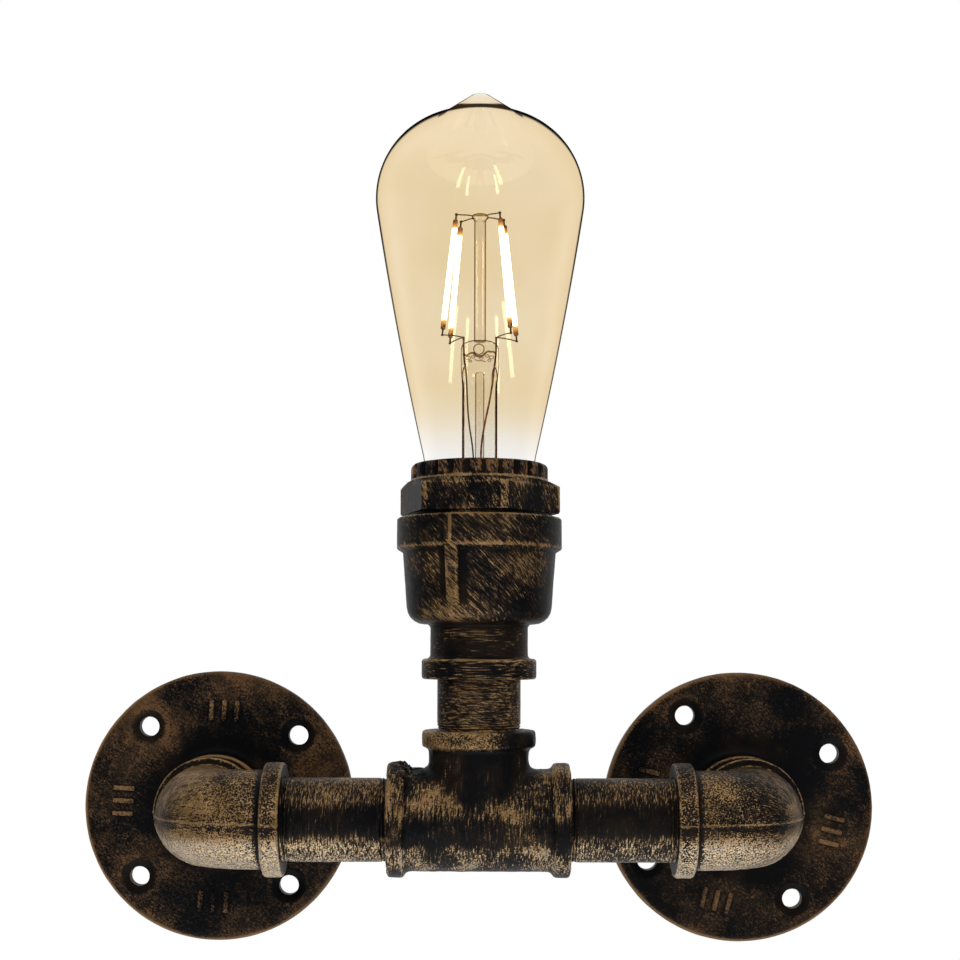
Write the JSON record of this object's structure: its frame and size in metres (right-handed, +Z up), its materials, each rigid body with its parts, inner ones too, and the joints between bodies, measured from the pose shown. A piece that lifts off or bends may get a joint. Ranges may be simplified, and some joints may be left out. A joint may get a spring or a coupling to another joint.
{
  "type": "pipe wall light",
  "caption": "Wall light made of cast pipe fittings: two round wall flanges, elbows and a tee that carry an upright lampholder cup with a teardrop filament bulb.",
  "frame": {"origin": "on the wall plane, midway between the centres of the two flanges, level with the pipe axis", "axes": "+X to the right along the pipe, +Y into the wall, +Z up along the bulb"},
  "size_m": [0.261, 0.08, 0.267],
  "materials": {
    "aged_cast_iron": "satin",
    "aged_steel_pipe": "satin",
    "zinc_steel": "satin",
    "white_porcelain": "gloss",
    "brass": "satin",
    "cable_sheath": "matte",
    "core_brown": "matte",
    "core_blue": "matte",
    "core_green_yellow": "matte",
    "amber_glass": "polished",
    "clear_glass": "polished",
    "black_insulator": "gloss",
    "filament_phosphor": "matte",
    "lead_wire": "satin"
  },
  "bodies": {
    "wall_fittings": {"left_rear_nipple": "aged_steel_pipe", "right_rear_nipple": "aged_steel_pipe", "left_elbow": "aged_cast_iron", "right_elbow": "aged_cast_iron", "elbow_cable": "cable_sheath", "tail_live": "core_brown", "tail_neutral": "core_blue", "tail_earth": "core_green_yellow"},
    "left_flange": {"left_flange": "aged_cast_iron"},
    "right_flange": {"right_flange": "aged_cast_iron"},
    "arm": {"left_pipe": "aged_steel_pipe", "right_pipe": "aged_steel_pipe", "tee": "aged_cast_iron", "arm_cable": "cable_sheath"},
    "head": {"neck_nipple": "aged_steel_pipe", "holder_housing": "aged_cast_iron", "hex_collar": "aged_cast_iron", "entry_tube": "zinc_steel", "lock_nut": "zinc_steel", "holder_bracket": "zinc_steel", "bracket_screws": "zinc_steel", "porcelain_holder": "white_porcelain", "screw_shell": "brass", "centre_contact": "brass", "live_rivet": "brass", "neutral_rivet": "brass", "live_terminal": "brass", "neutral_terminal": "brass", "terminal_screws": "zinc_steel", "earth_screw": "zinc_steel", "earth_tag": "zinc_steel", "head_cable": "cable_sheath", "core_live": "core_brown", "core_neutral": "core_blue", "core_earth": "core_green_yellow"},
    "bulb_contact": {"bulb_contact_tip": "brass"},
    "bulb": {"bulb_insulator": "black_insulator", "bulb_cap": "brass", "bulb_glass": "amber_glass", "bulb_stem": "clear_glass", "bulb_exhaust_tube": "clear_glass", "bulb_centre_rod": "clear_glass", "bulb_upper_wires": "lead_wire", "bulb_left_lead": "lead_wire", "bulb_right_lead": "lead_wire", "filament_1": "filament_phosphor", "filament_2": "filament_phosphor", "filament_3": "filament_phosphor", "filament_4": "filament_phosphor"}
  },
  "joints": [
    {"name": "left_flange_turn", "type": "hinge", "parent": "wall_fittings", "child": "left_flange", "pos_m": [-0.086, 0, 0], "axis": [0, 1, 0], "range_deg": [-45, 45]},
    {"name": "right_flange_turn", "type": "hinge", "parent": "wall_fittings", "child": "right_flange", "pos_m": [0.086, 0, 0], "axis": [0, 1, 0], "range_deg": [-45, 45]},
    {"name": "arm_tilt", "type": "hinge", "parent": "wall_fittings", "child": "arm", "pos_m": [0, -0.048, 0], "axis": [1, 0, 0], "range_deg": [-4, 180]},
    {"name": "head_swivel", "type": "hinge", "parent": "arm", "child": "head", "pos_m": [0, -0.048, 0], "axis": [0, 0, 1], "range_deg": [-170, 170]},
    {"name": "bulb_lift", "type": "slide", "parent": "head", "child": "bulb_contact", "axis": [0, 0, 1], "range_m": [0, 0.01815]},
    {"name": "bulb_turn", "type": "hinge", "parent": "bulb_contact", "child": "bulb", "pos_m": [0, -0.048, 0], "axis": [0, 0, 1], "range_deg": [0, 1800]}
  ],
  "couplings": [
    {"joint": "bulb_lift", "follows": "bulb_turn", "m_per_rad": 0.00057757}
  ]
}
